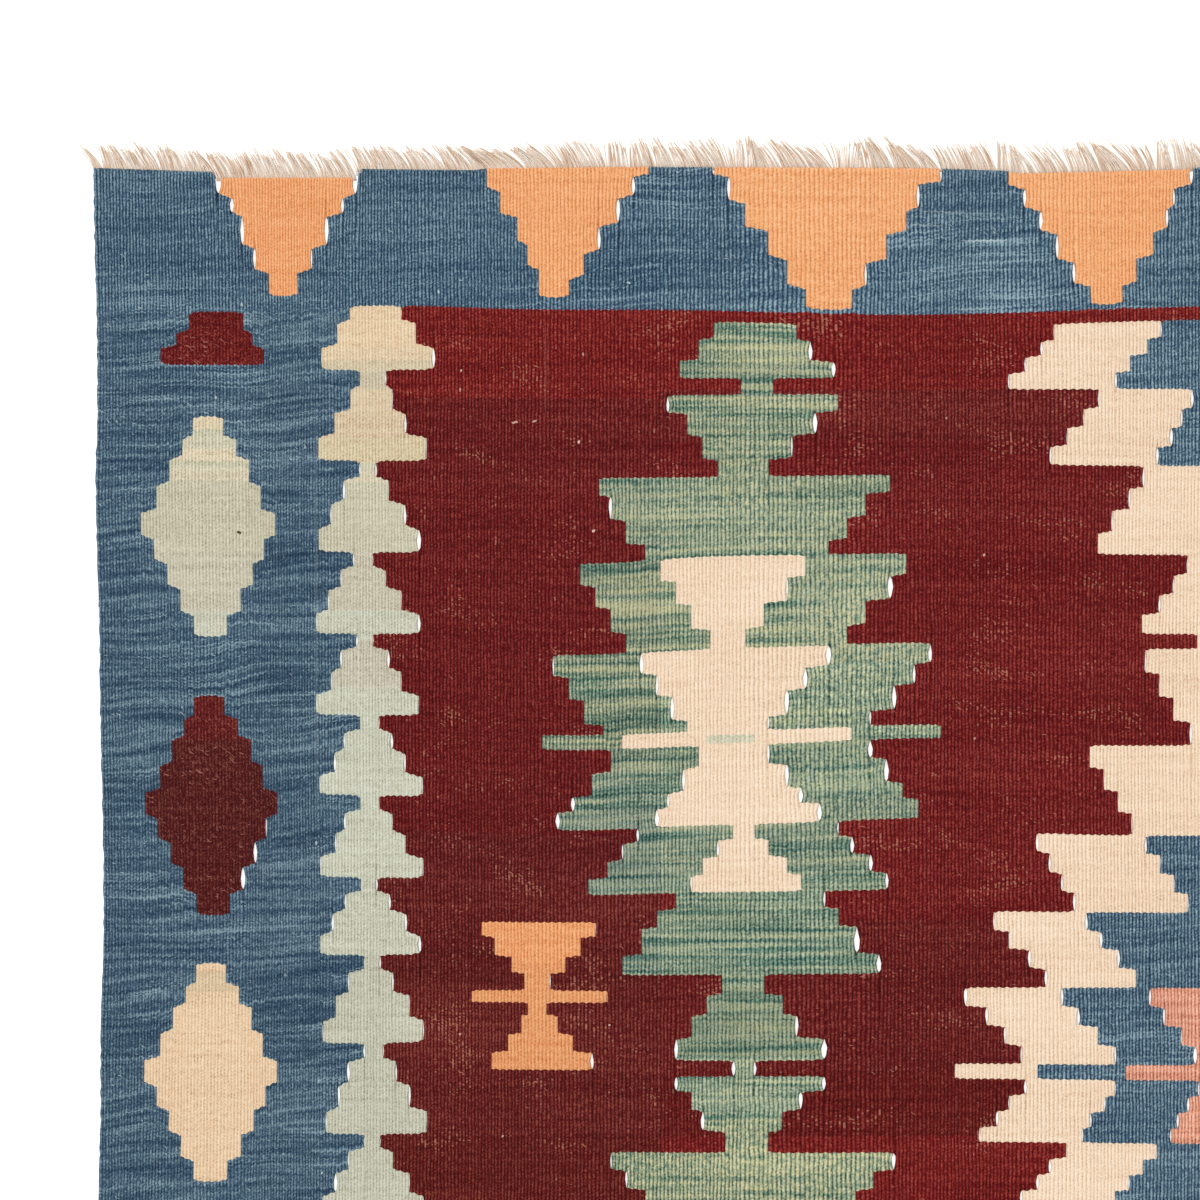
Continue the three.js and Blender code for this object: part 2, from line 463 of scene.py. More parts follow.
# The side border's stepped diamonds, light and red in turn, with half a one at each end
DIAMOND_AXIS = 68.1
DIAMOND_CENTRES = (215.8, 382.8, 542.8)
DIAMOND_PITCH = 155.7
DIAMONDS_BELOW = 10
DIAMOND_FEET = (2260, 2426)
DIAMOND_STEPS = table(
    "half height right_gape",
    (9.5, 12.8, 0), (15.8, 12.6, 0), (23.8, 15.6, 0), (31.5, 16.2, 0), (40.6, 15.6, 0),
    (33.2, 14.4, 0.8), (25.5, 15, 2.3), (18, 15.6, 2.7), (10.4, 13.8, 0),
)
HALF_DIAMOND_TOP = 87
HALF_DIAMOND = table("left right bottom", (57, 88, 99), (47.5, 95, 108), (38, 102, 119))
DIAMOND_YARNS = (CELADON, OLD_MADDER, STRAW, OLD_MADDER)


def border_diamonds():
    top = HALF_DIAMOND_TOP
    for step in HALF_DIAMOND:
        weave_ends(OLD_MADDER, step.left, step.right, top, step.bottom)
        top = step.bottom
    last = DIAMOND_CENTRES[-1]
    below = [last + n * DIAMOND_PITCH for n in range(1, DIAMONDS_BELOW + 1)]
    height = sum(step.height for step in DIAMOND_STEPS)
    for number, centre in enumerate((*DIAMOND_CENTRES, *below, *DIAMOND_FEET)):
        yarn = DIAMOND_YARNS[number % len(DIAMOND_YARNS)]
        top = centre - height / 2
        for step in DIAMOND_STEPS:
            sides = DIAMOND_AXIS - step.half, DIAMOND_AXIS + step.half
            gapes = 0, step.right_gape if yarn == OLD_MADDER else 0
            weave(yarn, *sides, top, top + step.height, gapes)
            top += step.height


# The small apricot hourglass beside each link of the green column
HOURGLASS_AXIS = 267
HOURGLASS_TOP = 452
HOURGLASS_PLACES = (0, 402, 794, 1186, 1578)
HOURGLASS = table(
    "bottom left right right_gape",
    (461, 35, 33, 0.5), (473, 26, 25, 0), (483, 17, 16, 0), (494, 9, 7, 0.5), (501, 41, 41, 0.4),
    (509, 7, 5, 0), (520, 12, 11, 0), (531, 20, 21, 0), (542, 29, 32, 1.9),
)


def hourglasses():
    for place in HOURGLASS_PLACES:
        top = HOURGLASS_TOP + place
        for step in HOURGLASS:
            sides = HOURGLASS_AXIS - step.left, HOURGLASS_AXIS + step.right
            weave(APRICOT, *sides, top, step.bottom + place, (0, step.right_gape))
            top = step.bottom + place


def mirror_halves():
    """The right half of the rug mirrors the left one, with its slits."""
    half = RIBS // 2
    chart[half:] = chart[:half][::-1]
    slits.extend([slit._replace(line=RIBS - slit.line) for slit in slits])


toothed_column()
green_repeat = green_column()
medallions()
hourglasses()
end_triangles()
border_diamonds()
mirror_halves()

# How far apart the mesh is cut along a warp where nothing changes, in picks
GRID = 110
GRID_CLEAR = 20  # no such cut comes this close to a change of colour
END_CUT = 4
SELVEDGE_STEP = 7  # the outermost ribs are cut more closely


def rib_levels(rib, bends):
    """The picks where a rib is cut: its ends, its changes of colour, its bends, and an even
    grid."""
    turns = (np.flatnonzero(np.diff(chart[rib])) + 1).tolist()
    levels = {0, END_CUT, *turns, *bends, PICKS - END_CUT, PICKS}
    for level in range(GRID, PICKS, GRID):
        at = bisect.bisect(turns, level)
        near = turns[max(at - 1, 0):at + 1]
        if all(abs(level - change) > GRID_CLEAR for change in near):
            levels.add(level)
    return sorted(levels)


SLIT_SHORTEST = 8  # picks
SLIT_NARROWEST = 0.3
SLIT_STATIONS = (0.14, 0.5, 0.86)
SLIT_WIDE = 1.0  # a slit this wide bends the ribs beside it
SLIT_SKEW = (0.65, 1.5)  # a slit is widest nearer to one of its ends
SLIT_ROUNDING = 0.7  # the further under 1, the rounder a slit's ends
BEND_SHARES = (1, 0.75, 0.5, 0.25)  # of half its width, from the slit outwards

# A change of colour along a warp draws its two ends together, and the wefts beside them.
DRAW_BORDER = 1.4
DRAW_FIELD = 0.7
DRAW_SHARES = (1, 0.6, 0.2)  # from its own line outwards
DRAW_REACH = 10  # picks
DRAW_MOST = 1.6
BORDER_WIDE = 205.0  # the side border with the toothed column


def colour_changes():
    """Every run of picks along a line with another yarn on each side, as a slit that stands
    open or has no width."""
    wanted = {}
    for slit in slits:
        wanted.setdefault(slit.line, []).append(slit)
    found = []
    for line in range(1, RIBS):
        parted = (chart[line - 1] != chart[line]).astype(np.int8)
        edges = np.flatnonzero(np.diff(parted, prepend=0, append=0)).tolist()
        for first, last in zip(edges[::2], edges[1::2]):
            width = 0
            middle = (first + last) / 2
            for slit in wanted.get(line, ()):
                if slit.first <= middle <= slit.last:
                    width = slit.width
            if last - first < SLIT_SHORTEST or width < SLIT_NARROWEST:
                width = 0
            found.append(Slit(line, first, last, width))
    return found


changes = colour_changes()

# For every crossing of a line and a pick: half the width of the slit that stands open there,
# how far slits nearby bend the line aside, and how far the wefts are drawn along.
gape = np.zeros((RIBS + 1, PICKS + 1), np.float32)
bend = np.zeros_like(gape)
draw = np.zeros_like(gape)


def open_slit(slit):
    skew = np.random.default_rng(slit.line * PICKS + slit.first).uniform(*SLIT_SKEW)
    share = np.linspace(0, 1, slit.last - slit.first + 1) ** skew
    if slit.first == 0:
        share = 0.5 + share / 2
    if slit.last == PICKS:
        share = share / 2
    half = slit.width / 2 * np.clip(np.sin(math.pi * share), 0, 1) ** SLIT_ROUNDING
    picks = slice(slit.first, slit.last + 1)
    gape[slit.line, picks] = half
    if slit.width < SLIT_WIDE:
        return
    for off in range(1, len(BEND_SHARES)):
        if slit.line + off < RIBS:
            bend[slit.line + off, picks] += BEND_SHARES[off] * half
        if slit.line - off > 0:
            bend[slit.line - off, picks] -= BEND_SHARES[off] * half


def draw_together(slit):
    middle = (slit.first + slit.last) / 2 * PICK
    across = LINES[slit.line]
    in_border = (
        min(across, CLOTH_WIDTH - across) < BORDER_WIDE
        or min(middle, CLOTH_LENGTH - middle) < FIELD_TOP
    )
    most = DRAW_BORDER if in_border else DRAW_FIELD
    most *= min(1, (slit.last - slit.first) / (2 * DRAW_REACH))
    for end, way in ((slit.first, 1), (slit.last, -1)):
        if end in (0, PICKS):
            continue
        picks = np.arange(max(end - DRAW_REACH, 0), min(end + DRAW_REACH, PICKS) + 1)
        pull = way * most * (1 - np.abs(picks - end) / DRAW_REACH)
        for off in range(1 - len(DRAW_SHARES), len(DRAW_SHARES)):
            if 0 < slit.line + off < RIBS:
                draw[slit.line + off, picks] += pull * DRAW_SHARES[abs(off)]


for slit in changes:
    if slit.width:
        open_slit(slit)
    draw_together(slit)
np.clip(draw, -DRAW_MOST, DRAW_MOST, out=draw)


class Piece:
    """One yarn's mesh while it is made. A corner is a place on the loom: half ribs across,
    picks along, 1 on the face or 0 on the back, and the way from its line to its rib."""

    def __init__(self):
        self.numbers = {}
        self.corners = []
        self.faces = []
        self.backs = []
        self.creases = set()

    def corner(self, halves, level, side, way):
        key = (halves, level, side)
        number = self.numbers.get(key)
        if number is None:
            number = len(self.corners)
            self.numbers[key] = number
            self.corners.append((halves, level, side, way))
        return number


def mesh_cuts():
    """The picks where each rib and each line is cut."""
    bends = [set() for _ in range(RIBS)]
    stations = [set() for _ in range(RIBS + 1)]
    for slit in changes:
        if not slit.width:
            continue
        span = slit.last - slit.first
        stations[slit.line].update(round(slit.first + share * span) for share in SLIT_STATIONS)
        if slit.width < SLIT_WIDE:
            continue
        reach = len(BEND_SHARES) - 1
        for rib in range(max(slit.line - reach - 1, 0), min(slit.line + reach + 1, RIBS)):
            bends[rib].add(round((slit.first + slit.last) / 2))
    for rib in (0, RIBS - 1):
        bends[rib].update(range(SELVEDGE_STEP, PICKS, SELVEDGE_STEP))
    ribs = [rib_levels(rib, bends[rib]) for rib in range(RIBS)]
    lines = []
    for line in range(RIBS + 1):
        beside = [ribs[rib] for rib in (line - 1, line) if 0 <= rib < RIBS]
        lines.append(sorted(stations[line].union(*beside)))
    return ribs, lines


def weave_pieces():
    ribs, lines = mesh_cuts()
    pieces = {}

    def chain(piece, line, first, last, side, way):
        """A line's corners from first to last, on the side where the rib lies."""
        levels = lines[line]
        part = levels[bisect.bisect_left(levels, first):bisect.bisect_right(levels, last)]
        return part, [piece.corner(2 * line, level, side, way) for level in part]

    for rib in range(RIBS):
        for first, last in zip(ribs[rib], ribs[rib][1:]):
            yarn = int(chart[rib, first])
            piece = pieces.setdefault(yarn, Piece())
            left_levels, left = chain(piece, rib, first, last, 1, 1)
            right_levels, right = chain(piece, rib + 1, first, last, 1, -1)
            _, left_back = chain(piece, rib, first, last, 0, 1)
            _, right_back = chain(piece, rib + 1, first, last, 0, -1)
            crest_first = piece.corner(2 * rib + 1, first, 1, 0)
            crest_last = piece.corner(2 * rib + 1, last, 1, 0)
            piece.faces.append([*left, crest_last, crest_first])
            piece.faces.append([crest_first, crest_last, *reversed(right)])
            piece.backs.append([left_back[0], *right_back, *reversed(left_back[1:])])
            sides = (-1, left_levels, left, left_back), (1, right_levels, right, right_back)
            for way, levels, face, back in sides:
                beside = rib + way
                for at, level in enumerate(levels[:-1]):
                    if 0 <= beside < RIBS and chart[beside, level] == yarn:
                        continue
                    wall = [face[at], back[at], back[at + 1], face[at + 1]]
                    piece.faces.append(wall if way < 0 else wall[::-1])
            if first == 0 or chart[rib, first - 1] != yarn:
                outline = [left[0], crest_first, right[0], right_back[0], left_back[0]]
                piece.faces.append(outline)
                piece.creases.update(((left[0], crest_first), (crest_first, right[0])))
            if last == PICKS or chart[rib, last] != yarn:
                outline = [right[-1], crest_last, left[-1], left_back[-1], right_back[-1]]
                piece.faces.append(outline)
                piece.creases.update(((left[-1], crest_last), (crest_last, right[-1])))
    return pieces


# Slow waves in how the warps and wefts lie, in millimetres
WAVES = 9
WAVE_LENGTHS = (140, 480)
WAVE_SEED = 11
WARP_DRIFT = 0.45
WEFT_DRIFT = 0.55
EDGE_REACH = 120.0  # how far in from a long edge its waver is felt
END_REACH = 20.0  # how far in from an end its waver is felt
CALM = 60.0  # the drift dies out this far from an edge
TOOTH = 0.4
JITTER = 0.12
SELVEDGE_JITTER = 0.4
HEIGHT_JITTER = 0.06
JITTER_TURNS = (12.9898, 4.1414, 7.77)  # for each half rib, each pick and each seed
JITTER_SPREAD = 43758.5453
SLIT_LEAST = 0.03  # a slit's sides lie low where it is wider than this


def slow_waves(seed, across, along):
    """Smooth unevenness of about -1 to 1 over the cloth."""
    chance = np.random.default_rng(seed)
    total = np.zeros_like(across)
    for _ in range(WAVES):
        turn = chance.uniform(0, 2 * math.pi)
        length = chance.uniform(*WAVE_LENGTHS)
        phase = chance.uniform(0, 2 * math.pi)
        way = across * math.cos(turn) + along * math.sin(turn)
        total += np.sin(2 * math.pi * way / length + phase)
    return total / math.sqrt(WAVES)


def jitter(seed, halves, level):
    """A small uneven share from -1 to 1 for each place on the loom."""
    rib_turn, pick_turn, seed_turn = JITTER_TURNS
    share = np.sin(halves * rib_turn + level * pick_turn + seed * seed_turn) * JITTER_SPREAD
    return 2 * (share - np.floor(share)) - 1


def calm(distance):
    return np.clip(distance / CALM, 0, 1)


def on_floor(halves, level, way=0):
    """The place of a loom position on the floor, in millimetres from the rug's middle. At an
    end it takes the dip of the rib that lies that way from it."""
    across = np.interp(halves / 2, LINE_NUMBERS, LINES)
    along = level * PICK
    far = CLOTH_WIDTH - across
    left = eased(SIDE_WAVER, "along", "inset", along) * np.exp(-across / EDGE_REACH)
    right = eased(SIDE_WAVER, "along", "inset", CLOTH_LENGTH - along) * np.exp(-far / EDGE_REACH)
    still = calm(across) * calm(far) * calm(along) * calm(CLOTH_LENGTH - along)
    drift = WARP_DRIFT * slow_waves(WAVE_SEED, across, along) * still
    x = across - CLOTH_WIDTH / 2 + left - right + drift
    sag = WEFT_DRIFT * slow_waves(WAVE_SEED + 1, across, along) * calm(along)
    sag *= calm(CLOTH_LENGTH - along)
    for swell in SWELLS:
        off = ((across - swell.across) / swell.width) ** 2
        off = off + ((along - swell.along) / swell.height) ** 2
        sag += swell.sag * np.exp(-off) * np.clip(along / swell.along, 0, 1)
    dips = column(END_WAVER, "across"), column(END_WAVER, "dip")
    sag += np.interp(across + way, *dips) * np.clip(1 - along / END_REACH, 0, 1)
    sag -= np.interp(far - way, *dips) * np.clip(1 - (CLOTH_LENGTH - along) / END_REACH, 0, 1)
    return x, CLOTH_LENGTH / 2 - along - sag


# Where the green skein was mottled and not banded, in the first repeat of its column
MOTTLED = table(
    "across along width height",
    (391, 208, 100, 24), (462, 290, 44, 54), (455, 372, 42, 26),
)
MOTTLED_FROM = 183
MOTTLED_EDGE = 4  # the higher, the sharper a patch ends


def mottling(across, along):
    """How mottled the green yarn is at a place, from 0 to 1."""
    near = np.minimum(across, CLOTH_WIDTH - across)
    place = (along - MOTTLED_FROM) % green_repeat + MOTTLED_FROM
    total = np.zeros_like(across)
    for patch in MOTTLED:
        off = ((near - patch.across) / patch.width) ** MOTTLED_EDGE
        off = off + ((place - patch.along) / patch.height) ** MOTTLED_EDGE
        total += np.exp(-off)
    return np.clip(total, 0, 1) * (along > MOTTLED_FROM)


BACK_BAND = 0.16  # share of the bake map that holds the back


def yarn_piece(name, piece):
    """One yarn's mesh: its corners laid on the floor, with its maps and its creases."""
    halves, level, side, way = np.array(piece.corners).T
    x, y = on_floor(halves, level, way)
    crest = halves % 2 == 1
    inner = (halves > 0) & (halves < 2 * RIBS)
    line = halves // 2
    beyond = np.minimum(line + crest, RIBS)
    from_left = bend[line, level] + gape[line, level]
    from_right = bend[beyond, level] - gape[beyond, level]
    beside = bend[line, level] + way * gape[line, level]
    x = x + np.where(crest, (from_left + from_right) / 2, beside)
    y = y - (draw[line, level] + draw[beyond, level]) / 2
    x = x + np.where(inner, JITTER, SELVEDGE_JITTER) * jitter(1, halves, level)
    ribbed = crest & (side == 1) & (level > 0) & (level < PICKS)
    y = y + TOOTH * np.where(halves % 4 == 1, 1, -1) * ribbed
    z = np.where(crest, CREST, VALLEY) + HEIGHT_JITTER * jitter(2, halves, level)
    z = np.where(inner, z, SELVEDGE)
    z = np.where(~crest & (gape[line, level] > SLIT_LEAST), SLIT_SIDE, z)
    z = z - END_DROP * ((level == 0) | (level == PICKS))
    z = np.where(side == 1, z, 0)
    mesh, corner_of = new_mesh(name, np.column_stack([x, y, z]), piece.faces + piece.backs)
    # The bake map is the rug seen from above, with the back in a band of its own.
    u = x / CLOTH_WIDTH + 0.5
    v = (y + CLOTH_LENGTH / 2) / CLOTH_LENGTH
    face_loops = sum(len(face) for face in piece.faces)
    map_v = v[corner_of] * (1 - BACK_BAND)
    map_v[face_loops:] = 1 - BACK_BAND * v[corner_of[face_loops:]]
    spread_map(mesh, "OFBake", u[corner_of], map_v)
    spread_map(mesh, "loom", (halves / 2)[corner_of], (level * PICK)[corner_of])
    crease_valleys(mesh, piece, halves, side)
    across = np.interp(halves / 2, LINE_NUMBERS, LINES)
    mottled = mesh.attributes.new("mottled", "FLOAT", "POINT")
    mottled.data.foreach_set("value", mottling(across, level * PICK))
    return placed(mesh)


def crease_valleys(mesh, piece, halves, side):
    """Ribs are round over their warps, and sharp in the valleys and at a piece's edges."""
    ends = np.empty(2 * len(mesh.edges), np.int32)
    mesh.edges.foreach_get("vertices", ends)
    ends = ends.reshape(-1, 2)
    one, other = ends.T
    valley = (halves[one] == halves[other]) & (halves[one] % 2 == 0)
    back = (side[one] == 0) | (side[other] == 0)
    count = len(halves)
    listed = np.array([min(pair) * count + max(pair) for pair in piece.creases])
    codes = np.minimum(one, other).astype(np.int64) * count + np.maximum(one, other)
    sharp = valley | back | np.isin(codes, listed)
    crease = mesh.attributes.new("sharp_edge", "BOOLEAN", "EDGE")
    crease.data.foreach_set("value", sharp)


# The yarns as pieces: their names, the record's slots, and their shades as sRGB hex, from
# the darkest, painted as shade deep between two ribs, to the lightest thread, and the pale
# colour of the hairs that stray out of them and of the painted highlights on their crests.
# rib is how strong the painted shade of its ribs is, grain how uneven its threads are, streak
# how far the shade wanders from pick to pick, band how far it wanders over the rug, hairs how
# many stray hairs show, and the last column how many beads high on a rib get a painted
# highlight, standing for light caught on the crest.
YARNS = table(
    "number name slot deep low mid high hair rib grain streak band hairs worn",
    (MADDER, "madder_weft", "madder_wool",
     "#3a0404", "#651113", "#7b1d1e", "#ae4e43", "#d08e74", 0.85, 1.3, 0.3, 0.25, 0.15, 1),
    (OLD_MADDER, "old_madder_weft", "madder_wool",
     "#3a080a", "#571417", "#6a1d1e", "#9a5248", "#b87c6e", 0.5, 1.7, 0.25, 0.25, 1, 0),
    (INDIGO, "indigo_weft", "indigo_wool",
     "#152c41", "#375067", "#557083", "#a0b8c0", "#c3d2d2", 1.0, 1.15, 0.45, 0.25, 0.2, 0),
    (APRICOT, "apricot_weft", "apricot_wool",
     "#b8713f", "#e29862", "#f4b27c", "#fccca0", "#ffe2c0", 0.65, 1.0, 0.3, 0.15, 0, 0),
    (CREAM, "cream_weft", "cream_wool",
     "#c6a584", "#e7ccaf", "#f4dcc2", "#fcecd8", "#fff6e8", 0.8, 1.0, 0.3, 0.3, 0, 0),
    (STRAW, "straw_weft", "cream_wool",
     "#b8967a", "#dfc19d", "#ecd1b0", "#f5e0c2", "#fff0d8", 0.6, 1.3, 0.4, 0.3, 0, 0),
    (CELADON, "celadon_weft", "cream_wool",
     "#a89e84", "#d6cbae", "#e5d9be", "#f6ebd3", "#f4efdc", 0.65, 1.4, 0.5, 0.35, 0, 0),
    (SAGE, "sage_weft", "sage_wool",
     "#31453e", "#74856f", "#a3ad90", "#e1e1c0", "#ece6c0", 1.0, 1.1, 1.2, 0.5, 0, 0),
    (ROSE, "rose_weft", "rose_wool",
     "#94503f", "#cf866e", "#e3a488", "#f8c8b2", "#f8d8c4", 1.0, 1.0, 0.7, 0.4, 0, 0),
)

# The lots of dyed yarn, left and right of a parting: where along the rug a lot begins, and
# its tint on the lightest one. Further down they come back in reverse, and so on.
LOT_PARTING = 340
LOT_TURN = 620
PLAIN = ((0, "#ffffff"),)
DYE_LOTS = {
    MADDER: (
        ((0, "#ffffff"), (136, "#e3eff6"), (190, "#e2e3ec"), (358, "#dcdde6"), (395, "#d3e9f0"),
         (430, "#dcffff"), (466, "#d2f4f0"), (490, "#dafffc"), (581, "#d0e7e0")),
        ((0, "#ffffff"), (131, "#e4fdff"), (164, "#e9eaf4"), (212, "#eeeff6"), (452, "#e2fcfc"),
         (542, "#dae0dc"), (581, "#f6eef0")),
    ),
    OLD_MADDER: (((0, "#ffdcde"), (300, "#f4f0f0"), (342, "#dcf4f0")), PLAIN),
    INDIGO: (
        ((0, "#e6ecf1"), (85, "#f0f2f4"), (128, "#eaecef"), (283, "#e6e9ec"), (400, "#e4e6ea"),
         (500, "#e4e7ea")),
        ((0, "#e4e8ee"), (13, "#f3f6f8"), (85, "#ffffff"), (128, "#f8f9fa"), (283, "#f6f7f8"),
         (400, "#f2f3f4"), (500, "#f4f5f6")),
    ),
    APRICOT: (((0, "#fffefd"), (452, "#fbf6f2"), (476, "#f4eeea")), PLAIN),
    STRAW: (
        ((0, "#fbffff"), (108, "#f7fdff"), (114, "#ecfaff"), (122, "#e4f4ff"), (133, "#f2fbff"),
         (160, "#f1ffff"), (180, "#ffffff"), (480, "#f2f7f7"), (494, "#ffffff")),
        PLAIN,
    ),
    CELADON: (
        ((0, "#fffcf8"), (157, "#eef6f8"), (169, "#fcfaf8"), (175, "#eef6f8"), (181, "#f6f8fa"),
         (187, "#e8eff2"), (229, "#e7ecf2"), (264, "#e8f5ff"), (282, "#e6ecf4"),
         (312, "#e8f5ff"), (470, "#e4eff8")),
        ((0, "#eef7f9"),),
    ),
    SAGE: (
        ((0, "#e3e5e6"), (178, "#dadfe4"), (242, "#dddfe2"), (300, "#e4e6e9"), (342, "#dbe1e9"),
         (380, "#c7d2e0"), (424, "#cbd7e3"), (490, "#bfcad1"), (532, "#e2eaee"),
         (570, "#f8f6f2")),
        ((0, "#e7e9ea"), (115, "#d2d9de"), (136, "#e7e9ea"), (178, "#e5e9ec"), (242, "#e7e9ea"),
         (300, "#f5faff"), (342, "#dbe5eb"), (380, "#d9e0e7"), (424, "#d8e2e8"),
         (490, "#c5ced1"), (532, "#e4ebef"), (570, "#f8f6f2")),
    ),
}

# Single marks in the wool: pale tufts and pulled threads, and one dark speck. Wide and long
# are halves of its size, and strength is how much of it covers the yarn.
MARK = "across along wide long strength"
MARKS = {
    MADDER: table(
        MARK,
        (252, 152.6, 2.2, 0.6, 0.8), (264, 151.8, 1.3, 0.6, 0.7), (291, 164, 0.8, 1.1, 1),
        (300, 216, 0.9, 0.8, 1), (219.6, 122, 0.6, 0.8, 0.9), (219, 133, 0.5, 1.3, 0.6),
        (293.4, 112, 0.5, 1, 0.7), (534, 234.6, 0.6, 0.8, 0.9), (528.6, 346, 0.6, 0.7, 0.7),
        (511.8, 150.6, 0.6, 0.7, 0.7), (219, 520, 0.8, 0.6, 0.8), (244.8, 582, 0.7, 0.7, 0.7),
        (309, 514, 0.6, 0.6, 0.9), (270.6, 121, 0.5, 29, 0.07),
    ),
    INDIGO: table(
        MARK,
        (132, 405.6, 0.8, 1.3, 0.8), (206.4, 75.6, 0.6, 1.1, 0.9), (321, 69.6, 1.1, 0.6, 0.8),
        (72, 138.6, 0.6, 1.1, 0.8), (135.6, 603.6, 0.7, 0.7, 0.9),
        (133.8, 548.4, 0.6, 1.3, 0.7), (88.2, 82.2, 0.8, 1.1, 0.7),
        (132.6, 270, 0.6, 130, 0.12), (534, 42.6, 14, 0.5, 0.55), (498, 34.5, 12, 0.4, 0.3),
        (517, 26.2, 31, 0.4, 0.2), (528, 82.6, 12, 0.4, 0.35),
    ),
    CELADON: table(MARK, (86.4, 219.6, 1.5, 0.9, 1)),
}
MARK_SHADES = {MADDER: "#e2bfae", INDIGO: "#cfdcdc", CELADON: "#4a3f33"}


def linear(code):
    """An sRGB hex colour as linear red, green, blue and alpha."""
    values = [int(code[at:at + 2], 16) / 255 for at in (1, 3, 5)]
    return (*((v / 12.92 if v <= 0.04045 else ((v + 0.055) / 1.055) ** 2.4) for v in values), 1)


def set_stops(ramp, stops):
    """Gives a colour ramp its stops, each a place and an sRGB hex colour."""
    ramp.elements.remove(ramp.elements[1])
    for number, (place, shade) in enumerate(stops):
        stop = ramp.elements.new(place) if number else ramp.elements[0]
        stop.position = place
        stop.color = linear(shade)


def add_node(tree, kind, *inputs, **named):
    """Adds a node of a kind, which may name its operation too. Its inputs come in their order,
    or by their names, and a name in small letters is a setting. Another node given as an
    input stands for its first output."""
    kind, _, operation = kind.partition(" ")
    made = tree.nodes.new("ShaderNode" + kind)
    if operation:
        made.operation = operation
    if "stops" in named:
        set_stops(made.color_ramp, named.pop("stops"))
    filled = []
    for name, value in named.items():
        if name.islower():
            setattr(made, name, value)
        else:
            filled.append((made.inputs[name.replace("_", " ")], value))
    filled += zip((socket for socket in made.inputs if socket.enabled), inputs)
    for socket, value in filled:
        if isinstance(value, bpy.types.Node):
            value = next(output for output in value.outputs if output.enabled)
        if isinstance(value, bpy.types.NodeSocket):
            tree.links.new(value, socket)
        else:
            socket.default_value = value
    return made


def blank_material(name):
    material = bpy.data.materials.new(name)
    material.use_nodes = True
    material.node_tree.nodes.clear()
    return material, material.node_tree


# Two ways to mix colours: one laid over the other, or one as a tint on the other
COVER = {"data_type": "RGBA"}
TINT = {"data_type": "RGBA", "blend_type": "MULTIPLY"}

BEAD = 2.1  # height of one bead of weft on a rib, drawn coarser than it is, to show
BEAD_SLANT = 0.8
BEAD_SHIFT = 0.5  # from one rib to the next
BEAD_RELIEF = 0.3
# painted light on a bead's hump, and painted shade between beads
PAINTED_BEAD_SHADE = 0.12
BEAD_SWELL = 0.6  # how far a bead stands out, beside the grain of the wool
# The ribs' valleys get painted shade, partly shade falling between the ribs, partly darker dye.
PAINTED_RIB_SHADE = 0.62  # painted shade: how much lighter a crest is painted than the valleys beside it
RIB_UNEVEN = 1.3
RIB_WANDER = 0.6
THREAD_SHADE = 0.5
GRAIN_SHADE = 0.7
HALF_TURN_MEAN = 2 / math.pi
EVEN_SHADE = 0.545
SHADE_STOPS = (0, 0.35, 0.6, 1)  # where the deep, low, mid and high shades lie

# The indigo's painted rib shade is weaker in the side border, and its streaks stronger, and
# those slope there.
SIDE_RIB = 0.6
SIDE_STREAK = 1.9
SIDE_WIDE = 178.0
WAVE_REACH = 8.0  # how far its streaks wave along
SIDE_SLOPE = 0.12
PALE_PICKS = 0.29  # how seldom a run of paler picks shows
PALE_DRIFT = 0.5
PALE_SHADE = 0.25

# The green skein turns from teal to straw as its shade rises, and where it is mottled its
# streaks are calmer.
SAGE_TURNS = ((0.3, "#d2f4fb"), (0.46, "#f6fdfd"), (0.56, "#fffefb"), (0.72, "#fffaea"))
SAGE_TURN_MIDDLE = 0.5
MOTTLED_CALM = 0.75
MOTTLE_SHADE = 0.7
MOTTLE_LIFT = 0.06

HAIR_AT = 0.44  # how seldom a stray hair shows
HAIR_MORE = 0.1  # how much sooner one shows in a hairier yarn
HAIR_SLANT = 1.0  # how far along a hair runs for each rib that it crosses
HAIR_CROWD = 0.4
HAIR_SHARE = 0.6
GLINT_AT = 0.42  # how seldom a bead gets a painted highlight, standing for light caught on it
GLINT_CREST = 0.12  # only wool this high on its rib gets the painted highlight
GLINT_CROWD = 1.3
GLINT_SHARE = 0.45

# Noise over the loom: its turns for each rib and for each millimetre along, how many finer
# layers it has, and where it starts, from the yarn's own start
Noise = namedtuple("Noise", "across along detail start")
RIB_PATH = Noise(1 / 7, 1 / 13, 1, 2)
RIB_DEPTH = Noise(0.83, 1 / 4, 1, 7)
THREADS = Noise(0.71, 1 / 3, 2, 9)
GRAIN = Noise(2.3, 1 / 1.1, 1, 13)
STREAKS = Noise(1 / 45, 1 / 3.4, 2, 0)
BANDS = Noise(1 / 140, 1 / 45, 2, 5)
MOTTLES = Noise(1 / 1.6, 1 / 3.2, 1, 15)
STREAK_WAVES = Noise(1 / 30, 1 / 40, 0, 3)
PALE_RUNS = Noise(1 / 30, 1 / 1.2, 0, -5)
PALE_CROWDS = Noise(1 / 70, 1 / 50, 0, -3)
CROWDS = Noise(1 / 20, 1 / 20, 1, 25)
HAIRS = Noise(1 / 2.5, 1 / 1.1, 0, 21)
GLINT_BEADS = Noise(0.77, 1 / 1.6, 0, 23)
YARN_START = 17.0


